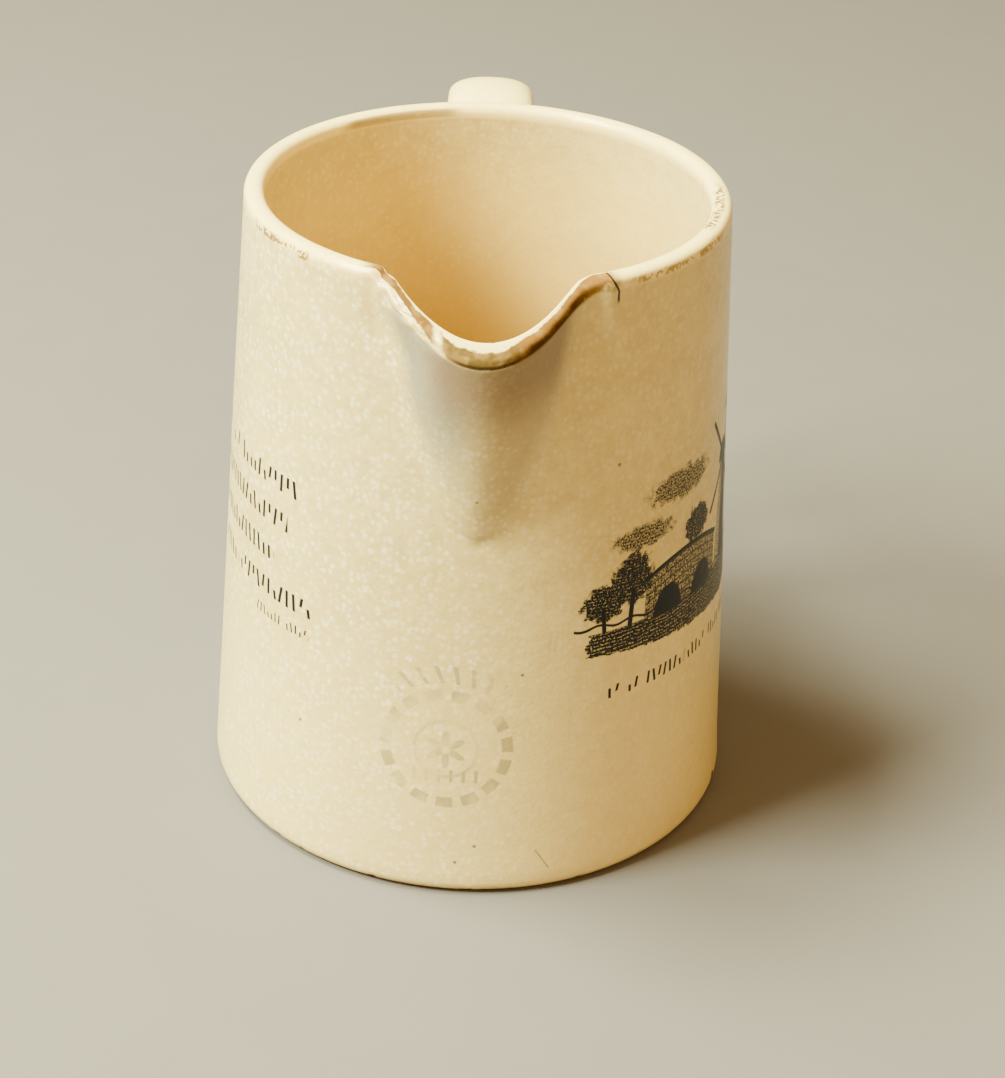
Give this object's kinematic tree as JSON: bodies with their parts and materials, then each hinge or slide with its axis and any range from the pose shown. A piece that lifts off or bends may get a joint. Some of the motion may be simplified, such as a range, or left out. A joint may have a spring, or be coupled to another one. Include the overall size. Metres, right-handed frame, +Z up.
{
  "type": "ale measure jug",
  "caption": "Cream glazed earthenware ale measure jug: hollow tapered body on a standing ring, beak spout at the front, strap handle at the back.",
  "frame": {"origin": "on the standing plane, under the middle of the jug's box, so the axis of the round body is 11.6 mm towards the spout from it", "axes": "+Z up from the standing plane to the rim, -Y towards the spout, +Y towards the handle, +X to the right of someone who faces the spout"},
  "size_m": [0.0982, 0.1308, 0.117],
  "materials": {
    "glazed_earthenware": "old crazed cream glaze, worn to tan clay on the lip, with dark transfer-style prints and a faint etched stamp"
  },
  "bodies": {
    "root": {"jug": "glazed_earthenware"}
  },
  "joints": []
}
